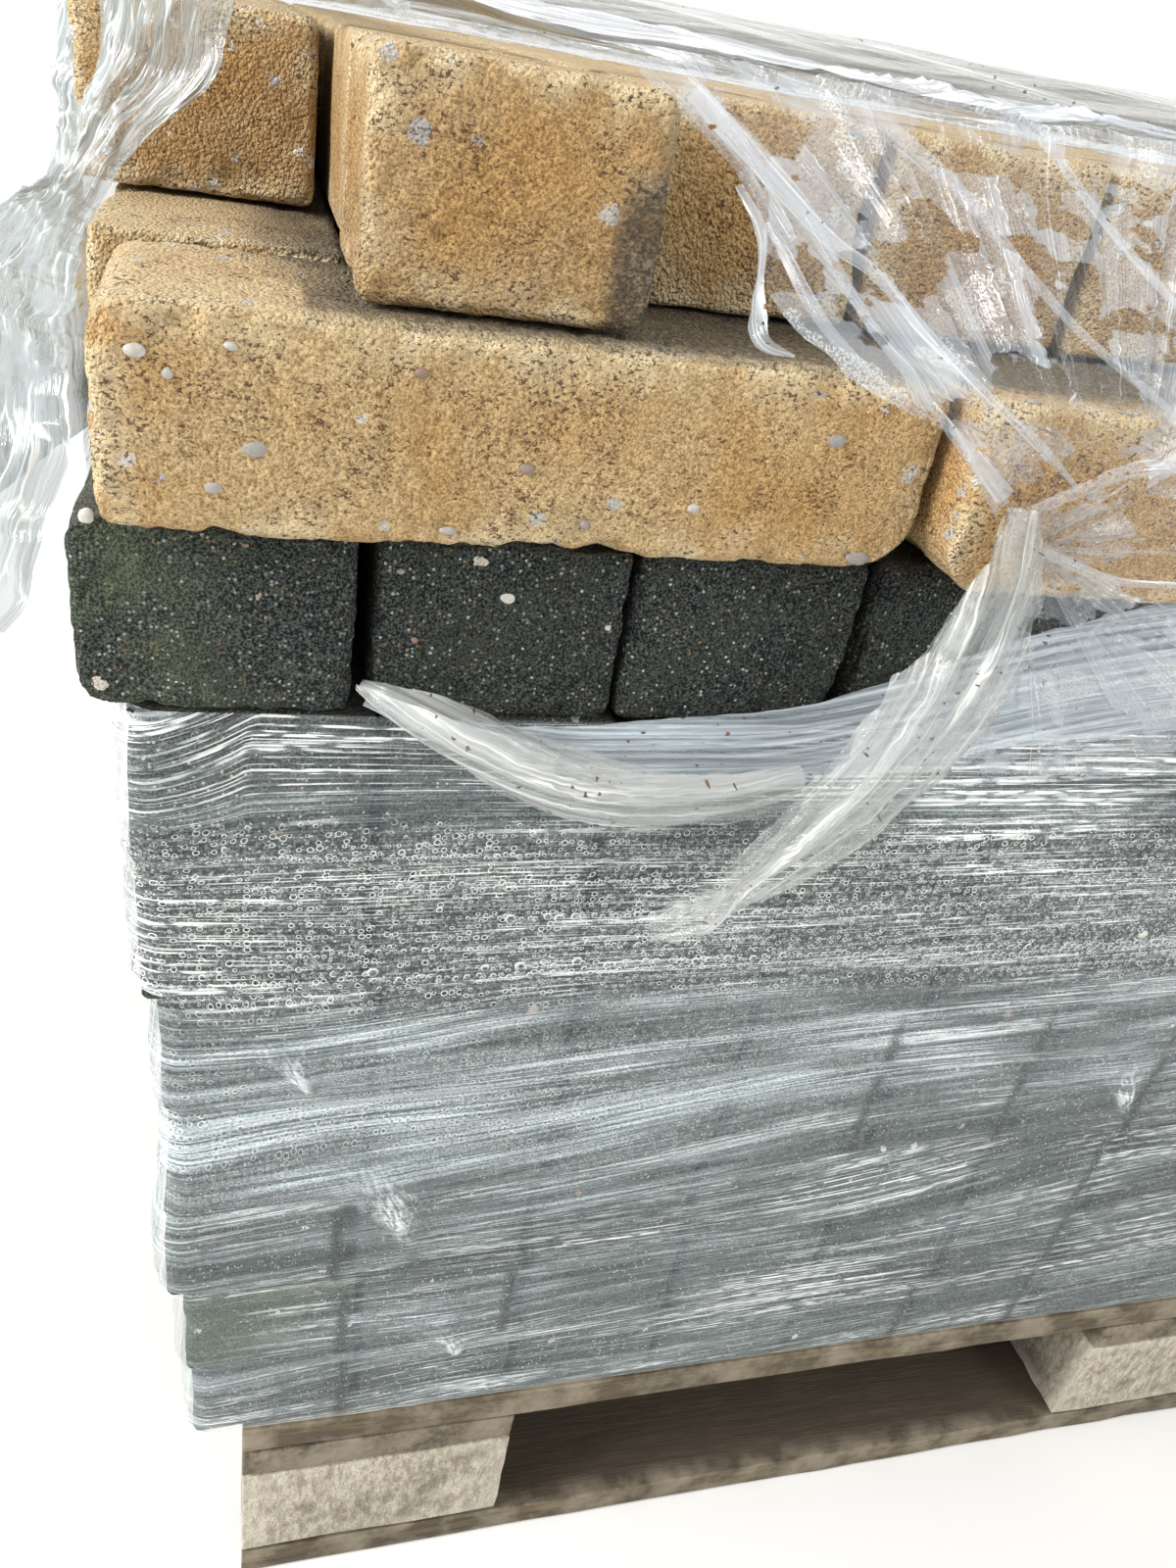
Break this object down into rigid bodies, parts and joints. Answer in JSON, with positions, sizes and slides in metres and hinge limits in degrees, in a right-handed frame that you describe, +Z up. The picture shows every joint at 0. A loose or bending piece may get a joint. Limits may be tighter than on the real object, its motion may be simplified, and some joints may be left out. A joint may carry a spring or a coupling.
{
  "type": "pallet of concrete pavers",
  "caption": "Wooden four-way pallet loaded with courses of tumbled dark and buff concrete pavers, wrapped in stretch film that is torn open at one top corner.",
  "frame": {"origin": "middle of the pallet's underside, on the ground", "axes": "+X along the pallet's long side, +Y away from the side that shows the paver ends, +Z up"},
  "size_m": [1.2573, 0.8563, 0.7616],
  "materials": {
    "weathered_wood": "rough-sawn softwood, weathered grey-brown and damp near the ground",
    "dark_concrete": "tumbled anthracite concrete, open-pored, with fine pale and brown aggregate",
    "buff_concrete": "tumbled buff concrete, pitted, with pale pebbles and dark stains",
    "stretch_film": "clear glossy film, wrinkled, stretched and beaded with water inside"
  },
  "bodies": {
    "root": {"bottom_board_1": "weathered_wood", "bottom_board_2": "weathered_wood", "bottom_board_3": "weathered_wood", "block_1_1": "weathered_wood", "block_1_2": "weathered_wood", "block_1_3": "weathered_wood", "block_2_1": "weathered_wood", "block_2_2": "weathered_wood", "block_2_3": "weathered_wood", "block_3_1": "weathered_wood", "block_3_2": "weathered_wood", "block_3_3": "weathered_wood", "cross_board_1": "weathered_wood", "cross_board_2": "weathered_wood", "cross_board_3": "weathered_wood", "deck_board_1": "weathered_wood", "deck_board_2": "weathered_wood", "deck_board_3": "weathered_wood", "deck_board_4": "weathered_wood", "deck_board_5": "weathered_wood", "dark_course_1": "dark_concrete", "dark_course_2": "dark_concrete", "dark_course_3": "dark_concrete", "dark_course_4": "dark_concrete", "dark_course_5": "dark_concrete", "dark_course_6": "dark_concrete", "dark_course_7": "dark_concrete", "dark_course_8": "dark_concrete", "front_paver_1": "buff_concrete", "front_paver_2": "buff_concrete", "front_paver_3": "buff_concrete", "front_paver_4": "buff_concrete", "front_paver_5": "buff_concrete", "lower_buff_bed": "buff_concrete", "corner_paver_1": "buff_concrete", "corner_paver_2": "buff_concrete", "corner_paver_3": "buff_concrete", "left_paver_1": "buff_concrete", "left_paver_2": "buff_concrete", "upper_buff_bed": "buff_concrete", "film_sleeve": "stretch_film", "film_upper": "stretch_film", "film_curtain": "stretch_film", "film_rim": "stretch_film", "film_tail": "stretch_film", "film_rope": "stretch_film"}
  },
  "joints": []
}
